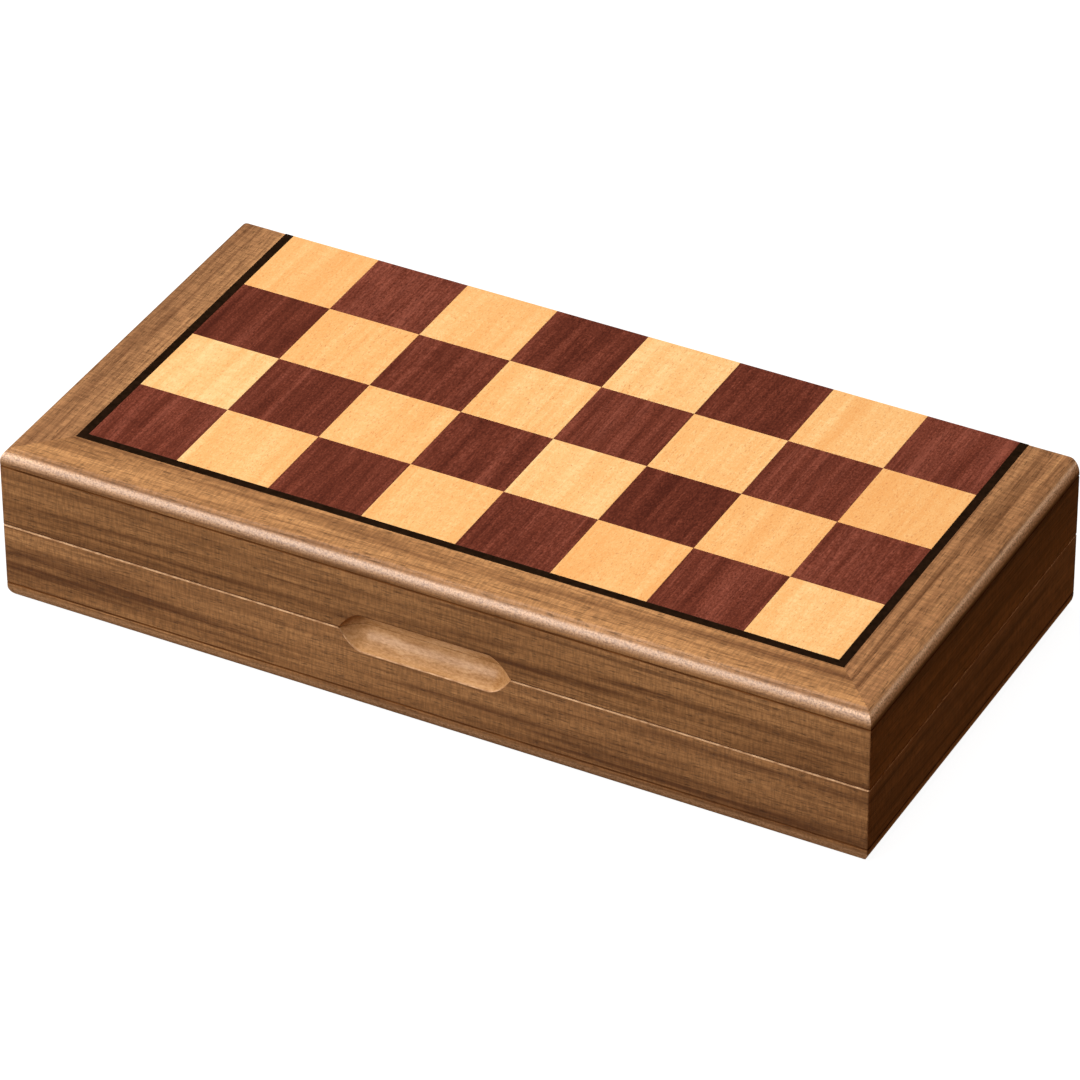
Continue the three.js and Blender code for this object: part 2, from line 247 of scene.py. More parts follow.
# one colour laid over a finish: the mask times the amount says how much.
def overlaid(tree, below, mask, amount, colour):
    cover = node(tree, "Math", {0: mask, 1: amount}, operation="MULTIPLY").outputs[0]
    above = colour if isinstance(colour, bpy.types.NodeSocket) else (*colourOf(*colour), 1)
    return mix(tree, cover, below, above)


def noise(tree, place, scale, detail, roughness, distortion=0.0):
    inputs = {"Vector": place, "Scale": scale, "Detail": detail, "Roughness": roughness}
    return node(tree, "TexNoise", inputs | {"Distortion": distortion}).outputs["Fac"]


# object coordinates, turned about the vertical, shifted and stretched by a scale for each direction.
def mapped(tree, scale, turn=0.0, shift=(0, 0, 0)):
    place = node(tree, "TexCoord").outputs["Object"]
    turned = node(tree, "Mapping", {"Vector": place, "Rotation": (0, 0, turn), "Location": shift})
    return node(tree, "Mapping", {"Vector": turned.outputs["Vector"], "Scale": scale}).outputs["Vector"]


# noise stretched along a grain: the three scales say how fine it is in x, y and z before it is turned.
def grain(tree, scale, detail, roughness, distortion=0.0, **way):
    return noise(tree, mapped(tree, scale, **way), 1.0, detail, roughness, distortion)


def newMaterial(name, **values):
    material = bpy.data.materials.new(name)
    material.use_nodes = True
    shader = material.node_tree.nodes["Principled BSDF"]
    for key, value in values.items():
        shader.inputs[key].default_value = value
    return material, material.node_tree, shader


# links a colour to a shader, and where they are given a ramp of roughness and a relief of that strength
# and depth.
def painted(tree, shader, colour, roughness=None, relief=None, strength=1.0, depth=mm):
    tree.links.new(colour, shader.inputs["Base Color"])
    if roughness is not None:
        tree.links.new(ramp(tree, *roughness), shader.inputs["Roughness"])
    if relief is not None:
        bump = node(tree, "Bump", {"Height": relief, "Strength": strength, "Distance": depth})
        tree.links.new(bump.outputs["Normal"], shader.inputs["Normal"])


lacquer = {
    "Coat Weight": 0.8,
    "Coat Roughness": 0.3,
    "Coat IOR": 1.75,
    "IOR": 1.5,
    "Specular IOR Level": 0.2,
}
satin = {"Coat Weight": 0.08, "Coat Roughness": 0.4, "IOR": 1.5, "Specular IOR Level": 0.12}
flatCoat = 0.12  # weight of the walnut's coat off the round-over, where the lacquer is thinner


# walnut: broad bands and finer ones, thin fibres and lines, short dark pores, all stretched along the
# grain, and faint marks across it. Colour = ramp(half bands + half broad bands), darkened by fibres, lines,
# pores and marks in turn, and made pale on the round-over by a point attribute: a painted highlight that
# stands also for rubbed wear. Coat = flat + (full - flat) x lacquered.
def walnut(name, palette, shift, grainAlongY=False):
    material, tree, shader = newMaterial(name, **lacquer)
    way = {"turn": math.pi / 2 if grainAlongY else 0.0, "shift": shift}
    bands = grain(tree, (9, 230, 230), 6, 0.68, 0.8, **way)
    broad = grain(tree, (4, 110, 110), 2, 0.5, 0.4, **way)
    fibres = grain(tree, (70, 1700, 1700), 3, 0.65, **way)
    pores = grain(tree, (240, 2600, 2600), 2, 0.5, **way)
    across = grain(tree, (1300, 230, 230), 3, 0.65, **way)
    lines = grain(tree, (14, 640, 640), 4, 0.65, 0.6, **way)
    wood = coloured(tree, mix(tree, 0.5, bands, broad), (0.38, 0.48, 0.6), palette)
    darkest = palette[0]
    deep = tuple(0.62 * level for level in darkest)
    wood = overlaid(tree, wood, between(tree, fibres, 0.56, 0.34), 0.4, darkest)
    wood = overlaid(tree, wood, between(tree, lines, 0.48, 0.36), 0.6, darkest)
    poreMask = between(tree, pores, 0.42, 0.34)
    wood = overlaid(tree, wood, poreMask, 0.6, deep)
    wood = overlaid(tree, wood, between(tree, across, 0.6, 0.4), 0.34, deep)
    # painted highlight: a pale speckled colour laid over the round-over, standing also for rubbed wear
    specks = grain(tree, (1500, 1500, 1500), 3, 0.75)
    rubbedHighlight = coloured(tree, specks, (0.36, 0.58), ((128, 94, 66), (216, 174, 134)))
    wearAndHighlight = node(tree, "Attribute", attribute_name="wearAndHighlight").outputs["Fac"]
    wood = overlaid(tree, wood, wearAndHighlight, 0.95, rubbedHighlight)
    lacquered = node(tree, "Attribute", attribute_name="lacquered").outputs["Fac"]
    coat = node(
        tree,
        "Math",
        {0: lacquered, 1: lacquer["Coat Weight"] - flatCoat, 2: flatCoat},
        operation="MULTIPLY_ADD",
    )
    tree.links.new(coat.outputs[0], shader.inputs["Coat Weight"])
    relief = node(tree, "Math", {0: fibres, 1: poreMask}, operation="SUBTRACT").outputs[0]
    painted(tree, shader, wood, (fibres, [(0.3, 0.52), (0.7, 0.36)]), relief, 0.5, 0.1 * mm)
    return material


# bare wood where the scoop was routed through the walnut: soft speckles, patches and short dark flecks
def bareWood(name, palette, fleck):
    finish = {"Roughness": 0.5, "Coat Weight": 0.2, "Coat Roughness": 0.3}
    material, tree, shader = newMaterial(name, **finish)
    speckles = grain(tree, (700, 1500, 1500), 4, 0.7)
    patches = grain(tree, (60, 260, 260), 3, 0.6)
    flecks = grain(tree, (500, 2600, 2600), 2, 0.5)
    wood = coloured(tree, mix(tree, 0.5, speckles, patches), (0.36, 0.5, 0.63), palette)
    wood = overlaid(tree, wood, between(tree, flecks, 0.4, 0.32), 0.5, fleck)
    painted(tree, shader, wood, relief=speckles, strength=0.4, depth=0.15 * mm)
    return material


# veneer of the squares: fine grain along the case's depth, shifted and toned from square to square by the
# tone attribute. The ramp reads bands and speckles + tone, and thin fibres, ripples across the grain and
# small flecks are laid over it.
def squareWood(name, palette, fleck, amounts):
    material, tree, shader = newMaterial(name, **satin)
    tone = node(tree, "Attribute", attribute_name="tone")
    place = node(tree, "TexCoord").outputs["Object"]
    shifted = node(tree, "VectorMath", {0: place, 1: tone.outputs["Color"]}, operation="ADD")

    def figure(scale, detail, roughness, distortion=0.0):
        at = node(tree, "Mapping", {"Vector": shifted.outputs["Vector"], "Scale": scale})
        return noise(tree, at.outputs["Vector"], 1.0, detail, roughness, distortion)

    bands = figure((240, 14, 240), 4, 0.6, 0.5)
    speckles = figure((2100, 1100, 2100), 3, 0.7)
    fibres = figure((1500, 60, 1500), 3, 0.65)
    ripples = figure((160, 420, 160), 3, 0.6, 0.8)
    flecks = figure((2600, 700, 2600), 2, 0.5)
    mottled = mix(tree, amounts["speckles"], bands, speckles)
    level = node(tree, "Math", {0: mottled, 1: tone.outputs["Alpha"]}, operation="ADD").outputs[0]
    wood = coloured(tree, level, (0.36, 0.5, 0.64), palette)
    wood = overlaid(tree, wood, between(tree, fibres, 0.6, 0.36), amounts["fibres"], palette[0])
    wood = overlaid(tree, wood, between(tree, ripples, 0.6, 0.4), amounts["ripples"], palette[0])
    wood = overlaid(tree, wood, between(tree, flecks, 0.4, 0.3), amounts["flecks"], fleck)
    painted(tree, shader, wood, (fibres, [(0.3, 0.46), (0.7, 0.34)]), fibres, 0.15, 0.08 * mm)
    return material


# polished wood of the chessmen: bands and fibres along the file that each man lies on.
def turnedWood(name, darkest, palest):
    material, tree, shader = newMaterial(name, **{"Coat Weight": 0.3, "Coat Roughness": 0.2, "IOR": 1.5})
    bands = grain(tree, (260, 22, 260), 4, 0.6, 0.5)
    fibres = grain(tree, (1500, 80, 1500), 3, 0.6)
    wood = coloured(tree, bands, (0.35, 0.65), (darkest, palest))
    wood = mix(tree, ramp(tree, fibres, [(0.36, 0.35), (0.6, 0.0)]), wood, (*colourOf(*darkest), 1))
    painted(tree, shader, wood, (fibres, [(0.3, 0.36), (0.7, 0.28)]), fibres, 0.1, 0.05 * mm)
    return material


# felt or flocked foam: a short tangled nap, as fine as its scale, over soft patches.
def flocked(name, darkest, palest, scale):
    material, tree, shader = newMaterial(name, **{
        "Roughness": 1.0,
        "Specular IOR Level": 0.05,
        "Sheen Weight": 0.15,
        "Sheen Roughness": 0.5,
        "Sheen Tint": (0.25, 0.6, 0.38, 1),
    })
    nap = noise(tree, mapped(tree, (1, 1, 1)), scale, 4, 0.7, 0.4)
    patches = noise(tree, mapped(tree, (1, 1, 1)), 60.0, 3, 0.5)
    green = coloured(tree, mix(tree, 0.35, nap, patches), (0.3, 0.7), (darkest, palest))
    painted(tree, shader, green, relief=nap, strength=0.6, depth=0.3 * mm)
    return material


# metal with faint lines along x from drawing or rolling, and small stains that are darker and rougher.
def metal(name, colour, roughness, brushed):
    material, tree, shader = newMaterial(name, Metallic=0.7)
    lines = grain(tree, (200, 4000, 4000), 2, 0.5)
    stains = noise(tree, mapped(tree, (1, 1, 1)), 300.0, 3, 0.5)
    stained = (*colourOf(*[int(0.6 * level) for level in colour]), 1)
    tint = mix(tree, ramp(tree, stains, [(0.35, 0.35), (0.65, 0.0)]), (*colourOf(*colour), 1), stained)
    rough = (stains, [(0.3, roughness + 0.12), (0.7, roughness)])
    painted(tree, shader, tint, rough, lines, brushed, 0.03 * mm)
    return material


# dyed black veneer with a trace of grain.
def blackVeneer(name, palette):
    material, tree, shader = newMaterial(name, **satin)
    fibres = grain(tree, (700, 700, 700), 3, 0.6)
    black = coloured(tree, fibres, (0.3, 0.7), palette)
    painted(tree, shader, black, (fibres, [(0.3, 0.45), (0.7, 0.36)]), fibres, 0.1, 0.05 * mm)
    return material


# raw plywood: thin plies, alternately pale and brown, stacked through the panel's thickness.
def plywood(name, palette):
    material, tree, shader = newMaterial(name, Roughness=0.7)
    figure = grain(tree, (30, 500, 2500), 3, 0.6)
    waves = {"Vector": mapped(tree, (1, 1, 1)), "Scale": 95.0, "Distortion": 0.4}
    plies = node(tree, "TexWave", waves, bands_direction="Z").outputs["Fac"]
    brown = coloured(tree, mix(tree, 0.35, plies, figure), (0.3, 0.65), palette)
    painted(tree, shader, brown, relief=figure, strength=0.3, depth=0.1 * mm)
    return material


# a dry, uneven finish with no relief: one noise between two colours.
def plainWood(name, roughness, specular, palette, places, *figure):
    material, tree, shader = newMaterial(name, **{"Roughness": roughness, "Specular IOR Level": specular})
    painted(tree, shader, coloured(tree, grain(tree, *figure), places, palette))
    return material


print("materials")
walnutPalette = ((94, 61, 38), (149, 107, 68), (178, 132, 86))
woods = {
    "front": walnut("walnut along the front", walnutPalette, (0.31, 0.0, 0.037)),
    "left": walnut(
        "walnut along the left", ((94, 62, 40), (144, 104, 70), (170, 126, 84)), (0.0, 0.13, 0.07),
        grainAlongY=True,
    ),
    # the right rail's walnut is a little darker than the front's in its darkest: painted shade for the
    # shaded right side
    "right": walnut(
        "walnut along the right, darkened as painted shade", ((87, 56, 34), (143, 102, 68), (172, 127, 85)), (0.57, 0.23, 0.09),
        grainAlongY=True,
    ),
    "back": walnut("walnut along the back", walnutPalette, (0.83, 0.41, 0.0)),
}
scoopWood = bareWood(
    "bare wood of the scoop", ((150, 106, 60), (184, 141, 95), (206, 166, 124)), (150, 104, 50),
)
# dark quirk: a glue line in the groove, with painted shade there and on the groove's edges, and painted
# shade on the lid's eased rim
quirkAndShade = plainWood(
    "dark quirk and painted shade", 0.8, 0.1, ((72, 42, 20), (104, 64, 32)), (0.3, 0.7), (90, 90, 900), 2, 0.5,
)
# painted light: the base's eased rim is pale, as if lit from above
litRimWood = plainWood(
    "rim painted pale as lit", 0.7, 0.15, ((156, 116, 82), (204, 166, 128)), (0.35, 0.65), (400, 400, 400), 3, 0.6,
)
lightSquares = squareWood(
    "pale maple squares", ((193, 140, 84), (199, 157, 103), (206, 176, 126)), (160, 100, 58),
    {"speckles": 0.55, "fibres": 0.25, "ripples": 0.3, "flecks": 0.6},
)
darkSquares = squareWood(
    "dark mahogany squares", ((58, 24, 18), (92, 44, 32), (124, 68, 54)), (42, 16, 12),
    {"speckles": 0.55, "fibres": 0.5, "ripples": 0.15, "flecks": 0.6},
)
blackLine = blackVeneer("black line veneer", ((12, 7, 4), (28, 17, 10)))
ply = plywood("panel plywood", ((122, 84, 50), (190, 150, 102)))
felt = flocked("green felt", (14, 42, 26), (34, 78, 50), 2600.0)
foam = flocked("flocked green foam", (10, 36, 22), (26, 68, 44), 1700.0)
footFelt = flocked("felt under the feet", (20, 60, 36), (44, 96, 62), 3000.0)
brass = metal("hinge brass", (196, 156, 84), 0.24, 0.25)
nickel = metal("magnet nickel", (186, 188, 192), 0.2, 0.1)
darkWood = turnedWood("dark stained chessmen", (44, 16, 10), (92, 40, 24))
lightWood = turnedWood("pale boxwood chessmen", (196, 146, 82), (226, 182, 112))


rail = {
    "roundOver": (3.5 * mm, 5.5 * mm),  # a quarter ellipse, inwards and down
    "roundOverSteps": 17,
    "quirkTop": 5.6 * mm,  # the quirk is the fine groove under the round-over
    "quirkWidth": 0.6 * mm,
    "quirkDepth": 0.22 * mm,
    "rimRound": 1.1 * mm,
    "cornerRound": 0.6 * mm,
    "softEdge": 0.25 * mm,
    "innerEdge": 0.08 * mm,
    # painted highlight along the round-over, which also stands for wear: its strength on the sides and the
    # front, and where it starts and fades
    "wearHighlightSides": 1.0,
    "wearHighlightFront": 0.55,
    "wearHighlightFrom": 0.8 * mm,  # down from the playing face
    "wearHighlightStop": 0.9 * mm,  # up from the foot of the round-over
    "wearHighlightFade": 0.8 * mm,
    "coatFadeIn": 0.3 * mm,
    "coatFadeOut": 1.2 * mm,
    "wall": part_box("base_back_rail")[1].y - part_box("base_back_rail")[0].y,
    "lap": 3 * mm,
    "lapHeight": 2.5 * mm,
    "magnetClearance": 0.2 * mm,
    "bedDeeper": 0.3 * mm,
}
lineInside = squareField[0].x + rightEnd
lineOutside = lineField[0].x + rightEnd
veneer = squareField[1].z
rim = parting - 0.06 * mm  # the two rims nearly touch
scoop = {
    "halfLength": 29.3 * mm,
    "halfStraight": 21 * mm,
    "halfHeight": 6.6 * mm,
    "depth": 5.6 * mm,
    "least": 0.3 * mm,  # a lower cove is left out
    "points": 18,
}
cornerAngles = np.radians([0, 15, 30, 45])


# how deep and how high the scoop is at x, as a share of its middle: 1 - t squared towards each tip.
def scoopSize(x):
    t = np.clip((abs(x) - scoop["halfStraight"]) / (scoop["halfLength"] - scoop["halfStraight"]), 0, 1)
    return 1 - t**2


# section of a rail, u inwards from the outer face and v up from the playing face. The scoop's cove is a
# quarter ellipse, u = d sin a, v = parting - h cos a, from the lip to the rim.
def railSection(scooped=0.0):
    height = scoop["halfHeight"] * scooped
    depth = scoop["depth"] * scooped
    quirk = rail["quirkTop"] + rail["quirkWidth"]
    if height > scoop["least"]:
        lip = parting - height
        top = math.acos((parting - rim) / height)
        angle = np.linspace(min(0.12, 0.3 * top), top, scoop["points"])
        cove = np.stack([depth * np.sin(angle), parting - height * np.cos(angle)], axis=-1)
    else:
        lip = rim
        across = np.linspace(0.1, 0.6, scoop["points"]) * rail["wall"]
        cove = np.stack([across, np.full_like(across, rim)], axis=-1)
    corners = [(0, quirk + 0.4 * mm), (0, lip), *cove.tolist()]
    radii = [0, rail["rimRound"], *[0] * scoop["points"]]
    steps = [1, 5, *[1] * scoop["points"]]
    corners += [(rail["wall"], rim), (rail["wall"], floorHeight), (lineInside - rail["lap"], floorHeight)]
    corners += [(lineInside - rail["lap"], rail["lapHeight"]), (lineInside, rail["lapHeight"])]
    corners += [(lineInside, veneer), (lineOutside, veneer), (lineOutside, 0)]
    radii += [rail["softEdge"], 0, 0, 0, 0, 0, 0, rail["innerEdge"]]
    steps += [4, 1, 1, 1, 1, 1, 1, 3]
    outline = roundCorners(corners, radii, steps)
    angle = np.linspace(math.pi / 2, 0, rail["roundOverSteps"])
    arc = np.array(rail["roundOver"]) * np.stack([1 - np.cos(angle), 1 - np.sin(angle)], axis=-1)
    groove = [
        (0.05 * mm, rail["quirkTop"]),
        (rail["quirkDepth"], rail["quirkTop"] + 0.12 * mm),
        (rail["quirkDepth"], quirk - 0.2 * mm),
        (0, quirk),
    ]
    return np.vstack([arc, groove, outline])


# a ring across the front rail at x, on the mitre where x is past the rail's end. The upright corner is a
# quarter circle shared by the two rails: x = end - r (1 - sin a), inset = r (1 - cos a), a <= 45 degrees.
def alongFront(section, x, cornerAngle=0.0):
    inset = rail["cornerRound"] * (1 - math.cos(cornerAngle))
    end = rightEnd - rail["cornerRound"] * (1 - math.sin(cornerAngle))
    inwards = np.maximum(section[:, 0], inset)
    across = math.copysign(1, x) * np.minimum(min(abs(x), end), rightEnd - inwards)
    return np.stack([across, frontFace + inwards, section[:, 1]], axis=-1)


# rings from mitre to mitre, close together where the scoop runs out
def frontRailRings():
    tips = scoop["halfLength"] * 1.02
    runOut = np.linspace(scoop["halfStraight"], tips, 22)
    inner = np.concatenate([np.linspace(0, scoop["halfStraight"], 5)[:-1], runOut])
    half = np.concatenate([inner, np.linspace(tips, 0.8 * rightEnd, 6)[1:]])
    places = np.concatenate([-half[::-1], half[1:]])
    rings = [alongFront(railSection(float(scoopSize(x))), x) for x in places]
    corner = [alongFront(railSection(), rightEnd, angle) for angle in cornerAngles]
    mirrored = [ring * (-1, 1, 1) for ring in corner[::-1]]
    return np.stack([*mirrored, *rings, *corner])


# rings from the front mitre to the back end, whose edge is eased
def sideRailRings(side):
    section = railSection()
    middle = section.mean(axis=0)
    towards = middle - section
    eased = section + towards / np.linalg.norm(towards, axis=1, keepdims=True) * rail["softEdge"]
    rings = []
    for angle in cornerAngles[::-1]:
        inset = rail["cornerRound"] * (1 - math.cos(angle))
        start = rail["cornerRound"] * (1 - math.sin(angle))
        inwards = np.maximum(section[:, 0], inset)
        y = frontFace + np.maximum(inwards, start)
        rings.append(np.stack([side * (rightEnd - inwards), y, section[:, 1]], axis=-1))
    for share in np.linspace(0.1, 0.97, 6):
        y = (1 - share) * (frontFace + section[:, 0]) + share * backFace
        rings.append(np.stack([side * (rightEnd - section[:, 0]), y, section[:, 1]], axis=-1))
    for outline, y in ((section, backFace - rail["softEdge"]), (eased, backFace)):
        inwards, height = outline.T
        rings.append(np.stack([side * (rightEnd - inwards), np.full_like(inwards, y), height], axis=-1))
    return np.stack(rings)


# where places lie: how far to the side of the middle, how far from the nearer playing face, how far in
# from the outer faces at the front and the sides, and whether they are in the upper half.
def depths(places):
    x, y, z = places.T
    inwards = np.minimum(rightEnd - abs(x), y - frontFace)
    return abs(x), np.minimum(z, caseHeight - z), inwards, z > parting


# a ramp from 0 at the first place to 1 a little further on.
def rising(value, start, length):
    return np.clip((value - start) / length, 0, 1)


# the quirk's floor and the small faces at its edges get a dark finish, partly a glue line and partly
# painted shade; the scoop's cove is bare; and the eased rims are painted pale on the base as painted light
# and dark on
# the lid as painted shade: faces are told apart by how far in and how high their middles lie. The
# round-over is painted pale between its foot and its top, a painted highlight that stands also for wear,
# and has more lacquer than the flats.
def markFinishes(mesh):
    centre = np.zeros(len(mesh.polygons) * 3)
    mesh.polygons.foreach_get("center", centre)
    centre = centre.reshape(-1, 3)
    x, height, inwards, above = depths(centre)
    front = abs(inwards - (centre[:, 1] - frontFace)) < 1e-6
    # the groove and the small faces at its edges: dark as a glue line and as painted shade
    grooved = (height > rail["quirkTop"] - 0.08 * mm) & (height < rail["quirkTop"] + rail["quirkWidth"])
    grooved &= inwards < 1.2 * rail["quirkDepth"]
    lip = parting - scoop["halfHeight"] * scoopSize(x)
    scooped = front & (x < scoop["halfLength"])
    coved = scooped & (height > lip - 0.1 * mm) & (height < rim - 0.05 * mm)
    coved &= (inwards > 0.06 * mm) & (inwards < scoop["depth"] + 0.1 * mm)
    eased = (height > np.where(scooped, lip, rim) - 1.1 * rail["rimRound"]) & (height < rim)
    eased &= inwards < np.where(scooped, 0.3, 1) * rail["rimRound"]
    # painted light and shade: the base's eased rims take the pale lit finish, the lid's the dark one as
    # painted shade
    walnutIndex, quirkShadeIndex, bareIndex, litRimIndex = range(4)
    index = np.select(
        [eased & scooped & ~above, coved, grooved, eased & above, eased],
        [litRimIndex, bareIndex, quirkShadeIndex, quirkShadeIndex, litRimIndex],
        walnutIndex,
    )
    mesh.polygons.foreach_set("material_index", index.astype(np.int32))
    x, height, inwards, above = depths(pointsOf(mesh))
    reach, foot = rail["roundOver"]
    # painted highlight: the round-over is made pale between its foot and its top, standing also for wear
    wearAndHighlight = rising(foot - height, rail["wearHighlightStop"], rail["wearHighlightFade"])
    wearAndHighlight *= rising(height, rail["wearHighlightFrom"], rail["wearHighlightFade"]) * (inwards < reach)
    wearAndHighlight *= np.where(rightEnd - x < inwards + 0.01 * mm, rail["wearHighlightSides"], rail["wearHighlightFront"])
    lacquered = rising(height, 0, rail["coatFadeIn"]) * rising(foot - height, 0, rail["coatFadeOut"])
    lacquered *= inwards < reach
    for name, values in (("wearAndHighlight", wearAndHighlight), ("lacquered", lacquered)):
        mesh.attributes.new(name, "FLOAT", "POINT").data.foreach_set("value", values)


# the front rail with a round bed for each magnet cut into its rim.
def bored(part, half):
    cutters = []
    for side in ("left", "right"):
        low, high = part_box(f"{half}_{side}_magnet")
        radius = (high.x - low.x) / 2 + rail["magnetClearance"]
        if half == "base":
            bottom, top = low.z - rail["bedDeeper"], rimHeight + mm
        else:
            bottom, top = caseHeight - rimHeight - mm, high.z + rail["bedDeeper"]
        hole, holeFaces = lathe([(0, bottom), (radius, bottom), (radius, top), (0, top)], 48)
        cutters.append((hole + ((low.x + high.x) / 2, (low.y + high.y) / 2, 0), holeFaces))
    piece = linked("bored rail", meshOf("bored rail", part))
    cutter = linked("magnet beds", meshOf("magnet beds", joined(*cutters)))
    cleaned(piece.data)
    cleaned(cutter.data)
    cut = piece.modifiers.new("beds", "BOOLEAN")
    cut.operation = "DIFFERENCE"
    cut.object = cutter
    result = evaluated(piece)
    bpy.data.objects.remove(piece)
    bpy.data.objects.remove(cutter)
    return pointsOf(result), facesOf(result)


print("rails")
for half in halves:
    # turning the lid over swaps its left and right
    mirrored = -1 if half == "lid" else 1
    rings = {
        "front": frontRailRings(),
        "left": sideRailRings(-mirrored),
        "right": sideRailRings(mirrored),
    }
    for side, ring in rings.items():
        name = f"{half}_{side}_rail"
        part = swept(placed(ring, half))
        if side == "front":
            part = bored(part, half)
        finishes = [woods[side], quirkAndShade, scoopWood, litRimWood]
        piece = makePiece(name + "_walnut", part, half, finishes, [name])
        markFinishes(piece.data)


square = {
    "size": 32 * mm,
    "columns": 8,
    "rows": 4,
    "fromFront": 19 * mm,
    "gap": 0.03 * mm,
    "ease": 0.07 * mm,
    "toneSpread": {"light": 0.045, "dark": 0.027},
    "shiftSpread": 0.9,
}
squareWoods = {"light": lightSquares, "dark": darkSquares}


# a thin tile with eased edges: rings at its glued side, at the edge and on the playing face.
def tileRings(low, high):
    rings = []
    for inset, z in ((0, veneer), (0, square["ease"]), (square["ease"], 0)):
        (x0, y0), (x1, y1) = low + inset, high - inset
        rings.append([(x0, y0, z), (x1, y0, z), (x1, y1, z), (x0, y1, z)])
    return swept(np.array(rings))


random = np.random.default_rng(7)
print("squares")
for half in halves:
    tiles = {"light": [], "dark": []}
    tones = {"light": [], "dark": []}
    for column in range(square["columns"]):
        for row in range(square["rows"]):
            # rows are counted from the front, and the outer squares are cut narrower by the black line
            corner = [(column - square["columns"] / 2) * square["size"], frontFace + square["fromFront"]]
            low = np.array(corner) + (0, row * square["size"])
            high = low + square["size"]
            low = np.maximum(low, squareField[0][:2]) + square["gap"] / 2
            high = np.minimum(high, squareField[1][:2]) - square["gap"] / 2
            shade = "dark" if (column + row) % 2 == (0 if half == "lid" else 1) else "light"
            tile = tileRings(low, high)
            shift = random.uniform(0, square["shiftSpread"], 3)
            tone = random.normal(0, square["toneSpread"][shade])
            tiles[shade].append(tile)
            tones[shade].append(np.tile([*shift, tone], (len(tile[0]), 1)))
    for shade in tiles:
        points, faces = joined(*tiles[shade])
        if half == "lid":
            points = turnOver(points * (-1, 1, 1))  # mirrored, so that column 0 stays on the left
            faces = [face[::-1] for face in faces]
        makePiece(
            f"{half}_{shade}_squares",
            (points, faces),
            half,
            [squareWoods[shade]],
            [f"{half}_square_veneer"],
            tones=np.vstack(tones[shade]),
        )


eased = {"rail": 0.3 * mm, "panel": 0.08 * mm, "line": 0.05 * mm}


# a copy of a CAD node with its flat faces whole again and its edges eased by a bevel.
def refined(nodeName, ease, body, material, name):
    mesh = frame["nodes"][nodeName].data.copy()
    mesh.name = name
    build = bmesh.new()
    build.from_mesh(mesh)
    bmesh.ops.remove_doubles(build, verts=build.verts, dist=1e-6)
    bmesh.ops.dissolve_limit(build, angle_limit=math.radians(1), verts=build.verts, edges=build.edges)
    build.to_mesh(mesh)
    build.free()
    mesh.materials.clear()
    mesh.materials.append(material)
    piece = linked(name, mesh)
    bevel = piece.modifiers.new("eased edges", "BEVEL")
    bevel.width = ease
    bevel.segments = 2
    bevel.limit_method = "ANGLE"
    bevel.angle_limit = math.radians(40)
    finishPiece(piece, body, [nodeName])


# gives a CAD node, whose shape is right as it is, its own material.
def dress(nodeName, material):
    mesh = frame["nodes"][nodeName].data
    mesh.materials.clear()
    mesh.materials.append(material)


print("back rails, panels, lines and linings")
for half in halves:
    refined(f"{half}_back_rail", eased["rail"], half, woods["back"], f"{half}_back_rail_walnut")
    refined(f"{half}_panel", eased["panel"], half, ply, f"{half}_plywood_panel")
    refined(f"{half}_line_inlay", eased["line"], half, blackLine, f"{half}_black_line")
    dress(f"{half}_lining", felt)


# the chessmen's radii and heights in mm, from the underside of the foot
man = {
    "pawn": {"foot": 8.6, "waist": 3.3, "collar": 5.4, "collarAt": 18},
    "rook": {"foot": 9.6, "waist": 5.1, "collar": 6.6, "collarAt": 22},
    "knight": {"foot": 10, "waist": 7.4, "collar": 7.8, "collarAt": 6.4},
    "bishop": {"foot": 9.8, "waist": 3.7, "collar": 6.3, "collarAt": 25.4},
    "queen": {"foot": 10.4, "waist": 4.1, "collar": 7, "collarAt": 31},
    "king": {"foot": 10.5, "waist": 4.4, "collar": 7.2, "collarAt": 33.4},
}
turning = {
    "sides": 72,
    "footDisc": 2.8,
    "neckFrom": 6,  # above the foot disc
    "felt": 0.4,
    "feltInset": 1.1,
    "pawnBall": (5.3, 23.7),  # radius and height of its middle
}
carving = {
    "gapWidth": 0.13,  # of the quarter between two gaps of the rook
    "gapFloor": 30.6,
    "cutAt": (1.2, 35.4),
    "cutSlope": 0.75,
    "cutHalfWidth": 0.75,
    "cutDepth": 0.42,
    "scallops": 9,  # round the queen's rim
    "scallopHeight": 0.7,
    "rimAt": 43.4,
}
# each head's outline above the collar: radius, height and the rounding of that corner
heads = {
    "rook": [
        (4.9, 23.6, 0.3), (5.7, 24.8, 0.8), (7.3, 26.8, 0.8), (7.3, 33, 0.35), (5.1, 33, 0.35),
        (5.1, 30, 0.3), (0, 30, 0),
    ],
    "bishop": [
        (3.6, 27, 0.3), (5, 27.6, 0.3), (5, 28.5, 0.3), (4.1, 29, 0.3), (5.9, 32.2, 3), (4.9, 36, 3),
        (1.1, 39.5, 0.5), (0.9, 39.8, 0.2), (1.7, 40.9, 0.7), (1.2, 42, 0.5), (0, 42, 0),
    ],
    "queen": [
        (4.3, 32.8, 0.3), (5.6, 33.4, 0.3), (5.6, 34.4, 0.3), (4.4, 35, 0.4), (5, 39, 3),
        (7.3, 43.6, 0.5), (6, 44.2, 0.6), (1.6, 45.4, 0.6), (1.9, 46.4, 0.7), (1.6, 48, 0.8), (0, 48, 0),
    ],
    "king": [
        (4.6, 35.2, 0.3), (5.9, 35.8, 0.3), (5.9, 36.8, 0.3), (4.7, 37.4, 0.4), (5.4, 41, 3),
        (7.2, 45, 0.5), (6.2, 46, 0.9), (2, 48, 0.8), (1.4, 48.4, 0.2), (0, 48.4, 0),
    ],
    "knight": [(4, 8.6, 0.4), (0, 8.8, 0)],
}


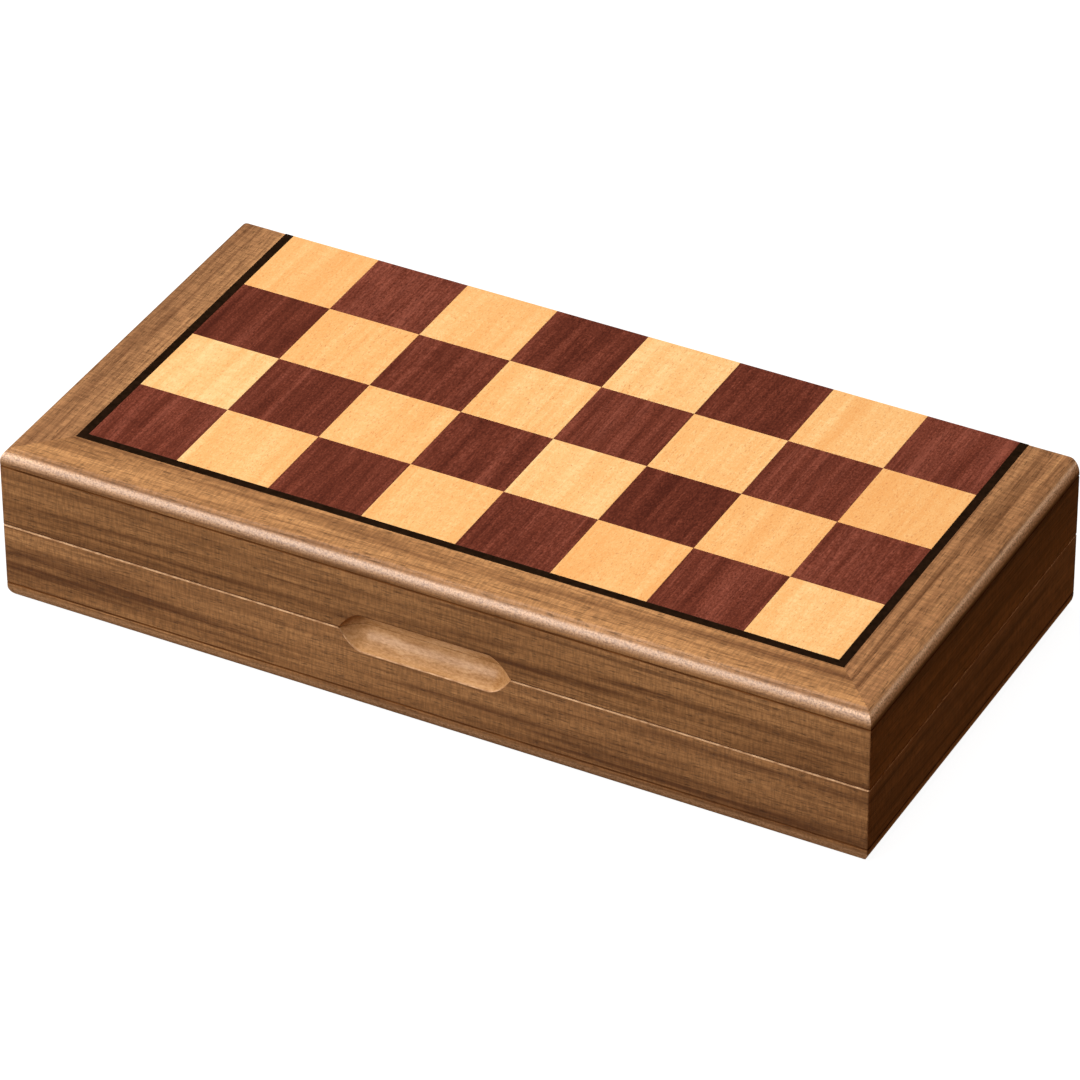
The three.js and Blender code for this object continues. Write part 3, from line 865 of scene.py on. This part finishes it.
# foot disc, bead and cove, then r = waist + (shoulder - waist)(1 - t)^2.4 up to the collar, then the head:
# a ball on the pawn, and the outline of that kind on the others.
def turnedProfile(kind):
    size = man[kind]
    foot, waist, collar, collarAt = size["foot"], size["waist"], size["collar"], size["collarAt"]
    corners = [(0, 0, 0), (foot - 0.6, 0, 0.2), (foot, 0.7, 0.5), (foot, turning["footDisc"], 0.7)]
    if kind == "knight":
        corners += [(0.88 * foot, 3.3, 0.2), (0.84 * foot, 5, 0.6), (waist, 5.6, 0.2)]
    else:
        corners += [(0.88 * foot, 3.3, 0.2), (0.86 * foot, 4.4, 0.5), (0.72 * foot, 4.9, 0.3)]
        t = np.linspace(0.04, 1, 14)
        radius = waist + (0.7 * foot - waist) * (1 - t) ** 2.4
        height = 5 + t * (collarAt - 2.2 - 5)
        corners += [(r, h, 0) for r, h in zip(radius, height)]
        bead, under = waist + 1.1, waist + 0.7
        corners += [(bead, collarAt - 1.9, 0.4), (bead, collarAt - 0.9, 0.4), (under, collarAt - 0.5, 0.1)]
    corners += [(collar, collarAt, 0.35), (collar, collarAt + 1.1, 0.45)]
    if kind == "pawn":
        ball, middle = turning["pawnBall"]
        angle = np.linspace(-0.9, math.pi / 2, 18)
        corners += [(ball * math.cos(a), middle + ball * math.sin(a), 0) for a in angle]
    else:
        corners += heads[kind]
    outline = np.array(corners)
    steps = [1 if rounding == 0 else 5 for rounding in outline[:, 2]]
    return roundCorners(outline[:, :2], outline[:, 2], steps)


# carving on the turned shape: the rook's gaps, the bishop's slanting cut and the queen's scalloped rim.
def carve(kind, points):
    x, y, z = points[..., 0], points[..., 1], points[..., 2]
    angle = np.arctan2(y, x)
    if kind == "rook":
        gap = np.abs((angle / (math.pi / 2) + 0.5) % 1 - 0.5) < carving["gapWidth"]
        points[..., 2] = np.where(gap & (z > carving["gapFloor"]), carving["gapFloor"], z)
    if kind == "bishop":
        cutX, cutZ = carving["cutAt"]
        plane = (z - cutZ) * math.cos(carving["cutSlope"]) - (x - cutX) * math.sin(carving["cutSlope"])
        cut = np.clip(1 - np.abs(plane) / carving["cutHalfWidth"], 0, 1) ** 0.5 * (x > 0.6) * (z > 31)
        points[..., :2] *= (1 - carving["cutDepth"] * cut)[..., None]
    if kind == "queen":
        rim = np.clip(1 - np.abs(z - carving["rimAt"]) / 1.4, 0, 1) * (np.hypot(x, y) > 5)
        wave = np.abs(np.cos(carving["scallops"] / 2 * angle)) - 0.5
        points[..., 2] += carving["scallopHeight"] * rim * wave
    return points


def latheMan(kind):
    points = turnedPoints(turnedProfile(kind), turning["sides"])
    return gridSurface(carve(kind, points), closedAlong=True)


cross = {
    "half": [(0.9, 47.6), (0.62, 50.2), (2.5, 49.6), (2.5, 52.2), (0.62, 51.6), (0.9, 54)],
    "middle": (0, 50.8),
    "halfThick": 1.05,
    "rounding": 0.25,
}


# a cross with spreading arms, its outline rounded and lofted to a slightly smaller face on each side.
def kingCross():
    half = np.array(cross["half"], float)
    outline = np.vstack([half, half[::-1] * (-1, 1)])
    outline = roundCorners(outline, [cross["rounding"]] * len(outline), [4] * len(outline))
    centre = np.array(cross["middle"])
    rings = []
    for depth, scale in ((-1, 0.86), (-0.72, 1), (0.72, 1), (1, 0.86)):
        flat = centre + (outline - centre) * scale
        rings.append(np.insert(flat, 1, cross["halfThick"] * depth, axis=1))
    return swept(np.stack(rings))


horse = {
    "outline": [
        (6.3, 8.2), (7, 12.4), (5.9, 16.2), (4.1, 19.6), (5.8, 20.6), (8.4, 19.7), (9.8, 21.3), (9.6, 24),
        (7.8, 27.8), (5.6, 31.2), (4, 34.2), (3, 38.6), (0.6, 35.8), (-3.2, 33.8), (-6.2, 29.6),
        (-7.9, 23.4), (-7.7, 17), (-7, 12), (-6.4, 8.2),
    ],
    "spine": [(0, 8.2), (-0.4, 13), (-1.4, 18), (-1.2, 23), (0.6, 27.4), (3, 26.4), (6.6, 23.2)],
    "spineSteps": 80,
    "halfThick": 3.7,
    "around": 150,
    "across": 15,
    "eye": (4.3, 2.25, 29),
    "eyeRadius": 0.62,
    "restsAt": (3.7, 36),  # the ear, which touches the lining when the knight lies down
}


# evenly spaced points on a closed curve through the corners, by periodic cubic interpolation.
def smoothLoop(corners, count):
    corners = np.array(corners, float)
    n = len(corners)
    t = np.linspace(0, n, count, endpoint=False)
    i = t.astype(int)
    u = (t - i)[:, None]
    a, b, c, d = (corners[(i + step) % n] for step in (-1, 0, 1, 2))
    curved = (2 * a - 5 * b + 4 * c - d) * u**2 + (3 * b - a - 3 * c + d) * u**3
    return 0.5 * (2 * b + (c - a) * u + curved)


# a crease that is deepest where the distance is 0 and soon fades: e to the power -(distance / width)^2.
def crease(distance, width):
    return np.exp(-((distance / width) ** 2))


# pillow over the head's outline: each outline point is joined to the nearest point of a spine, and the
# thickness is h sqrt(1 - (1 - t)^2.2); grooves for mane, mouth and cheek are pressed into it.
def horseHead():
    outline = smoothLoop(horse["outline"], horse["around"])
    corners = np.array(horse["spine"], float)
    steps = np.arange(horse["spineSteps"])
    fine = np.linspace(0, len(corners) - 1, horse["spineSteps"])
    spine = np.stack([np.interp(fine, np.arange(len(corners)), corners[:, k]) for k in (0, 1)], axis=-1)
    nearest = np.argmin(np.linalg.norm(outline[:, None] - spine[None], axis=-1), axis=1)
    nearest = np.convolve(np.concatenate([nearest[-3:], nearest, nearest[:3]]), np.ones(7) / 7, "valid")
    middle = np.stack([np.interp(nearest, steps, spine[:, k]) for k in (0, 1)], axis=-1)
    t = np.linspace(0, 1, horse["across"])[:, None, None]
    flat = outline + (middle - outline) * t
    x, z = flat[..., 0], flat[..., 1]
    rise = horse["halfThick"] * (1 - (1 - t[..., 0]) ** 2.2) ** 0.5
    rise = rise * np.interp(z, [8, 20, 30, 38], [1.0, 0.92, 0.8, 0.5])
    # mane: grooves that fan down the back of the neck, and a crease before them
    neck = x - 0.12 * (z - 20)
    mane = rising(-neck, 2.2, 1.5) * rising(34 - z, 0, 3) * rising(z, 9, 3)
    rise *= 1 - 0.26 * mane * (0.5 + 0.5 * np.cos((z + 0.55 * x) * 2.6))
    rise *= 1 - 0.3 * crease(neck + 2, 0.45) * rising(33 - z, 0, 3) * rising(z, 9, 2)
    # mouth, cheek and eye socket
    rise *= 1 - 0.35 * crease(z - 21.9 - 0.12 * (x - 9), 0.28) * rising(x, 6.4, 0.8)
    rise *= 1 - 0.2 * crease(np.hypot(x - 3.2, z - 24.2) - 3.3, 0.5) * (z < 26.5)
    rise *= 1 - 0.22 * crease(np.hypot((x - 4.3) / 1.1, (z - 29) / 0.8), 1)
    sides = [np.stack([x, -rise, z], axis=-1)[::-1], np.stack([x, rise, z], axis=-1)[1:]]
    return gridSurface(np.concatenate(sides), closedRound=True)


# a small ball in each eye socket.
def eyes():
    angle = np.linspace(-math.pi / 2, math.pi / 2, 9)
    ball, faces = lathe(horse["eyeRadius"] * np.stack([np.cos(angle), np.sin(angle)], axis=-1), 16)
    x, y, z = horse["eye"]
    return [(ball * (1, 1, 0.85) + (x, side * y, z), faces) for side in (-1, 1)]


# a whole chessman standing on z = 0, in mm.
def upright(kind):
    parts = [latheMan(kind)]
    if kind == "king":
        parts.append(kingCross())
    if kind == "knight":
        parts += [horseHead(), *eyes()]
    return joined(*parts)


# lays a chessman down: the axis along the case's depth, its foot's rim and its head touching the lining.
# The tilt is the least slope from the foot's rim to any ring of the head.
def lay(points, kind, towards, place):
    size = man[kind]
    radius, height = restOf(kind)
    tilt = float(np.min(np.arctan2(size["foot"] - radius, np.asarray(height) - turning["footDisc"])))
    x, y, z = points.T * mm
    along = z * math.cos(tilt) - y * math.sin(tilt)
    rise = -y * math.cos(tilt) - z * math.sin(tilt)
    laid = np.stack([towards * x, towards * along, rise], axis=-1)
    low, high = place
    footAt = low[1] - laid[:, 1].min() if towards > 0 else high[1] - laid[:, 1].max()
    return laid + ((low[0] + high[0]) / 2, footAt, low[2] - laid[:, 2].min())


# radii and heights of what may touch the lining: the turned outline above the foot, or the horse's ear.
def restOf(kind):
    if kind == "knight":
        return horse["restsAt"]
    profile = turnedProfile(kind)
    above = profile[profile[:, 1] > turning["footDisc"] + turning["neckFrom"]]
    return above[:, 0], above[:, 1]


# a CAD node's box as it lies in its half with the playing face down.
def localBox(nodeName, half):
    corners = placed(np.array([list(corner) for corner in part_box(nodeName)]), half)
    return corners.min(axis=0), corners.max(axis=0)


print("chessmen")
models = {kind: upright(kind) for kind in man}
pads = {}
for kind in man:
    radius, low, high = man[kind]["foot"] - turning["feltInset"], -turning["felt"], 0.02
    profile = [(0, low), (radius - 0.2, low), (radius, low + 0.2), (radius, high), (0, high)]
    pads[kind] = lathe(profile, 48)
colours = {"dark": ("base", darkWood, "dark_men"), "light": ("lid", lightWood, "light_men")}
pocketPlans = {"base": [], "lid": []}
for colour, (half, wood, slot) in colours.items():
    feltParts = []
    for nodeName in sorted(name for name in frame["nodes"] if name.startswith(colour + "_")):
        kind = nodeName.split("_")[1]
        towards = 1 if kind == "pawn" else -1
        place = localBox(nodeName, half)
        points, faces = models[kind]
        padPoints, padFaces = pads[kind]
        both = lay(np.vstack([points, padPoints]), kind, towards, place)
        pocketPlans[half].append((both, place))
        body, pad = np.split(placed(both, half), [len(points)])
        makePiece(f"{nodeName}_turned", (body, faces), half, [wood], [nodeName], sharp=50)
        feltParts.append((pad, padFaces))
    makePiece(f"{colour}_men_foot_felts", joined(*feltParts), half, [footFelt])


insert = {
    "clearance": 0.9 * mm,
    "slice": 1.0 * mm,
    "spread": 3,  # slices to each side that share the widest
    "smooth": 5,
    "pocketRound": 1.2 * mm,
    "cornerRound": 1.5 * mm,
    "edgeRound": 0.7 * mm,
    "glue": 0.03 * mm,  # between the two layers of foam
}
trough = {"low": (-118 * mm, -22 * mm), "high": (118 * mm, -3 * mm), "floor": 4 * mm, "round": 4 * mm}


# the plan of a lying chessman grown by a clearance: the widest half-width in each slice along it, spread
# to its neighbours and smoothed.
def pocketOutline(points, place):
    low, high = place
    middle = (low[0] + high[0]) / 2
    y0 = points[:, 1].min() - insert["clearance"]
    y1 = points[:, 1].max() + insert["clearance"]
    count = int((y1 - y0) / insert["slice"]) + 1
    width = np.zeros(count)
    slot = np.clip(((points[:, 1] - y0) / (y1 - y0) * count).astype(int), 0, count - 1)
    np.maximum.at(width, slot, np.abs(points[:, 0] - middle))
    spread = np.pad(width, insert["spread"], mode="edge")
    widest = np.max([spread[k:k + count] for k in range(2 * insert["spread"] + 1)], axis=0)
    smooth = np.ones(insert["smooth"]) / insert["smooth"]
    widest = np.convolve(np.pad(widest, insert["smooth"] // 2, mode="edge"), smooth, "valid")[:count]
    widest += insert["clearance"]
    y = np.linspace(y0, y1, count)
    right = np.stack([middle + widest, y], axis=-1)
    left = np.stack([middle - widest, y], axis=-1)[::-1]
    radii = np.zeros(2 * count)
    radii[[0, count - 1, count, -1]] = insert["pocketRound"]
    return roundCorners(np.vstack([right, left]), radii, [4 if radius else 1 for radius in radii])


# a flat sheet with holes: a filled curve given its thickness and rounded edges, as points and faces.
def foamSlab(name, outlines, low, high):
    curve = bpy.data.curves.new(name, "CURVE")
    curve.dimensions = "2D"
    curve.fill_mode = "BOTH"
    curve.extrude = (high - low) / 2 - insert["edgeRound"]
    curve.bevel_depth = insert["edgeRound"]
    curve.bevel_resolution = 3
    curve.offset = -insert["edgeRound"]
    for outline in outlines:
        spline = curve.splines.new("POLY")
        spline.points.add(len(outline) - 1)
        flat = np.hstack([outline, np.zeros((len(outline), 1)), np.ones((len(outline), 1))])
        spline.points.foreach_set("co", flat.ravel())
        spline.use_cyclic_u = True
    holder = linked(name, curve)
    mesh = evaluated(holder)
    bpy.data.objects.remove(holder)
    slab = pointsOf(mesh) + (0, 0, (low + high) / 2), facesOf(mesh)
    bpy.data.meshes.remove(mesh)
    return slab


def rectangle(low, high, radius):
    corners = [(low[0], low[1]), (high[0], low[1]), (high[0], high[1]), (low[0], high[1])]
    return roundCorners(corners, [radius] * 4, [8] * 4)


print("foam inserts")
for half in halves:
    low, high = localBox(f"{half}_insert", half)
    outer = rectangle(low, high, insert["cornerRound"])
    pockets = [pocketOutline(points, place) for points, place in pocketPlans[half]]
    hole = rectangle(trough["low"], trough["high"], trough["round"])
    split = low[2] + trough["floor"]
    lower = foamSlab("lower foam", [outer, *pockets], low[2], split)
    upper = foamSlab("upper foam", [outer, *pockets, hole], split + insert["glue"], high[2])
    points, faces = joined(lower, upper)
    part = (placed(points, half), faces)
    piece = makePiece(f"{half}_foam_insert", part, half, [foam], [f"{half}_insert"])


hinge = {
    "knuckle": 2 * mm,
    "bore": 1.06 * mm,
    "pin": 1 * mm,
    "leaf": 1 * mm,
    "play": 0.3 * mm,
    "ease": 0.2 * mm,
    "plateEase": 0.15 * mm,
    "tongueEase": 0.1 * mm,
    "tongueLap": 0.5 * mm,  # of the tongues that join the plate to the knuckles
    "tongueStop": 1.3 * mm,  # short of the axis
}
screw = {
    "radius": 1.7 * mm,
    "dome": 0.1 * mm,
    "slot": 0.42 * mm,
    "slotLong": 1.15 * mm,
    "deep": 0.5 * mm,
    "shank": 0.9 * mm,
    "grid": 44,
    "placing": ((0.2, 0.3), (0.8, 1.1)),  # share of the leaf's length, and turn of the cross
}
magnetEase = 0.25 * mm


# a box with its edges eased: rings shrunk at both ends, with rounded upright corners.
def softBox(low, high, ease):
    rings = []
    for z, inset in ((low[2], ease), (low[2] + ease, 0), (high[2] - ease, 0), (high[2], ease)):
        outline = rectangle((low[0] + inset, low[1] + inset), (high[0] - inset, high[1] - inset), ease)
        rings.append(np.hstack([outline, np.full((len(outline), 1), z)]))
    return swept(np.stack(rings))


# a tube round the hinge's axis with eased ends: a closed ring profile carried once round.
def knuckle(start, end):
    r, b, e = hinge["knuckle"], hinge["bore"], hinge["ease"]
    ring = [(r - e, start), (r, start + e), (r, end - e), (r - e, end), (b, end), (b, start)]
    points = turnedPoints(ring, 48)[..., [2, 0, 1]] + (0, hingeAxis.y, hingeAxis.z)
    return gridSurface(points, closedAlong=True, closedRound=True)


# the rim of a grid of points, once round.
def rimOf(points):
    return np.concatenate([points[0, :-1], points[:-1, -1], points[-1, :0:-1], points[:0:-1, 0]])


# a slightly domed disc with a cross pressed into it, on a square grid drawn in to a circle:
# u = a sqrt(1 - b^2 / 2), v = b sqrt(1 - a^2 / 2), height = dome (1 - r^4) less the cross.
def screwHead(x, y, z, up, turn):
    side = np.linspace(-1, 1, screw["grid"])
    a, b = np.meshgrid(side, side, indexing="ij")
    u = a * np.sqrt(1 - b**2 / 2)
    v = b * np.sqrt(1 - a**2 / 2)
    px, py = screw["radius"] * u, screw["radius"] * v
    tx = abs(px * math.cos(turn) + py * math.sin(turn))
    ty = abs(py * math.cos(turn) - px * math.sin(turn))
    halfSlot, reach = screw["slot"] / 2, screw["slotLong"]
    arm = np.minimum(np.maximum(tx / halfSlot, ty / reach), np.maximum(ty / halfSlot, tx / reach))
    height = screw["dome"] * (1 - np.hypot(u, v) ** 4) - screw["deep"] * np.clip((1.15 - arm) / 0.3, 0, 1)
    top = np.stack([px, py, height], axis=-1)
    under = rimOf(np.stack([0.6 * px, 0.6 * py, np.full_like(px, -screw["shank"])], axis=-1))
    wall = gridSurface(np.stack([rimOf(top), under]), closedRound=True)
    points, faces = joined(gridSurface(top), wall, (under, [list(range(len(under)))]))
    return points * (1, up, up) + (x, y, z), faces


print("hinges and magnets")
for side in ("left", "right"):
    pinLow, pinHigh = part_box(f"{side}_hinge_pin")
    left, full = pinLow.x, pinHigh.x - pinLow.x
    for half in halves:
        name = f"{side}_hinge_{half}_leaf"
        low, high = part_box(name)
        up = 1 if half == "base" else -1
        plateEdge = rimHeight if half == "base" else caseHeight - rimHeight
        z0, z1 = sorted((plateEdge, plateEdge - up * hinge["leaf"]))
        plateBack = hingeAxis.y - hinge["knuckle"] - hinge["play"]
        parts = [softBox((low.x, low.y, z0), (high.x, plateBack, z1), hinge["plateEase"])]
        # the base has the outer thirds of the knuckle, and the lid the middle one
        for begin, finish in ((0, 1 / 3), (2 / 3, 1)) if half == "base" else ((1 / 3, 2 / 3),):
            start = left + begin * full + (hinge["play"] / 2 if begin else 0)
            end = left + finish * full - (hinge["play"] / 2 if finish < 1 else 0)
            tongueLow = (start, plateBack - hinge["tongueLap"], z0)
            tongueHigh = (end, hingeAxis.y - hinge["tongueStop"], z1)
            parts += [knuckle(start, end), softBox(tongueLow, tongueHigh, hinge["tongueEase"])]
        screws = [
            screwHead(left + share * full, (low.y + plateBack) / 2, plateEdge, up, turn)
            for share, turn in screw["placing"]
        ]
        makePiece(name + "_brass", joined(*parts), half, [brass], [name])
        makePiece(f"{side}_hinge_{half}_screws", joined(*screws), half, [brass], sharp=30)
    ends = hinge["pin"] * np.array([[0, 0], [0.7, 0.06], [1, 0.4]])
    profile = np.vstack([ends + (0, pinLow.x), ends[::-1] * (1, -1) + (0, pinHigh.x)])
    points, faces = lathe(profile, 32, alongX=True)
    pin = points + (0, hingeAxis.y, hingeAxis.z), faces
    makePiece(f"{side}_hinge_pin_brass", pin, "base", [brass], [f"{side}_hinge_pin"])
    for half in halves:
        name = f"{half}_{side}_magnet"
        low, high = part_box(name)
        radius = (high.x - low.x) / 2
        inner = radius - magnetEase
        lower = [(0, low.z), (inner, low.z), (radius, low.z + magnetEase)]
        upper = [(radius, high.z - magnetEase), (inner, high.z), (0, high.z)]
        points, faces = lathe(lower + upper, 48)
        middle = ((low.x + high.x) / 2, (low.y + high.y) / 2, 0)
        makePiece(name + "_disc", (points + middle, faces), half, [nickel], [name])


view = {
    "azimuth": 27.992,
    "elevation": 34.982,
    "roll": 0.302,
    "distance": 2.0694,
    "target": (1.16 * mm, -1.66 * mm, 24.63 * mm),
    "focalLength": 225.475,
    "sensor": 36,
}


# looks at the target from an azimuth and an elevation, then rolls about its own line of sight.
def makeCamera():
    azimuth, elevation = math.radians(view["azimuth"]), math.radians(view["elevation"])
    away = Vector((
        math.cos(elevation) * math.sin(azimuth),
        -math.cos(elevation) * math.cos(azimuth),
        math.sin(elevation),
    ))
    data = bpy.data.cameras.new("camera")
    data.lens = view["focalLength"]
    data.sensor_width = view["sensor"]
    data.clip_end = 50
    camera = linked("camera", data)
    camera.rotation_mode = "QUATERNION"
    camera.location = Vector(view["target"]) + view["distance"] * away
    rolled = (-away).to_track_quat("-Z", "Y")
    rolled.rotate(Quaternion(-away, math.radians(view["roll"])))
    camera.rotation_quaternion = rolled
    bpy.context.scene.camera = camera


# a rectangular light that shines on the case from one side, seen only in matt shading or only in gloss.
def areaLight(name, kind, towards, distance, size, watts, colour):
    data = bpy.data.lights.new(name, "AREA")
    data.shape = "RECTANGLE"
    data.size, data.size_y = size
    data.energy = watts
    data.color = colour
    light = linked(name, data)
    direction = Vector(towards).normalized()
    light.location = direction * distance
    light.rotation_mode = "QUATERNION"
    light.rotation_quaternion = direction.to_track_quat("Z", "Y")
    light.visible_diffuse = kind == "matt"
    light.visible_glossy = kind == "gloss"


lights = {
    "key": {
        "kind": "matt", "towards": (-0.385, -0.769, 0.507), "distance": 1.6,
        "size": (1.0, 1.0), "watts": 23.5, "colour": (1, 0.98, 0.96),
    },
    "sheen": {
        "kind": "gloss", "towards": (-0.385, -0.89, 0.25), "distance": 1.6,
        "size": (0.6, 0.9), "watts": 9, "colour": (1, 0.97, 0.95),
    },
    "top": {
        "kind": "matt", "towards": (-0.15, -0.05, 1), "distance": 1.5,
        "size": (1.2, 1.2), "watts": 35, "colour": (1, 0.99, 0.97),
    },
    "right edge": {
        "kind": "gloss", "towards": (0.69, 0.7, 0.13), "distance": 1.8,
        "size": (0.8, 0.4), "watts": 1.7, "colour": (1, 0.75, 0.55),
    },
    "back fill": {
        "kind": "matt", "towards": (0.1, 0.95, 0.12), "distance": 1.8,
        "size": (1.2, 0.4), "watts": 4, "colour": (1, 0.96, 0.9),
    },
}
studio = {
    "worldColour": (1, 0.4, 0.1, 1),
    "worldStrength": 0.13,
    "floorHalf": 6,
    "floorHeight": -0.1 * mm,
    "floorGreys": [(0.3, 0.1), (0.7, 0.12)],
    "floorGlow": 0.95,
}

print("camera, lights and floor")
makeCamera()
for name, light in lights.items():
    areaLight(name, **light)

world = bpy.data.worlds.new("studio")
world.use_nodes = True
world.node_tree.nodes["Background"].inputs["Color"].default_value = studio["worldColour"]
world.node_tree.nodes["Background"].inputs["Strength"].default_value = studio["worldStrength"]
bpy.context.scene.world = world

floorFinish = {"Roughness": 0.9, "Emission Color": (1, 1, 1, 1), "Emission Strength": studio["floorGlow"]}
floorMaterial, floorTree, floorShader = newMaterial("pale floor", **floorFinish)
floorMottle = noise(floorTree, mapped(floorTree, (1, 1, 1)), 6.0, 2, 0.5)
painted(floorTree, floorShader, ramp(floorTree, floorMottle, studio["floorGreys"]))
floorCorners = studio["floorHalf"] * np.array([(-1, -1, 0), (1, -1, 0), (1, 1, 0), (-1, 1, 0)])
floor = linked("floor", meshOf("floor", (floorCorners + (0, 0, studio["floorHeight"]), [(0, 1, 2, 3)])))
floor.data.materials.append(floorMaterial)
floor.visible_diffuse = False
floor.visible_glossy = False

bpy.context.scene.view_settings.view_transform = "Standard"
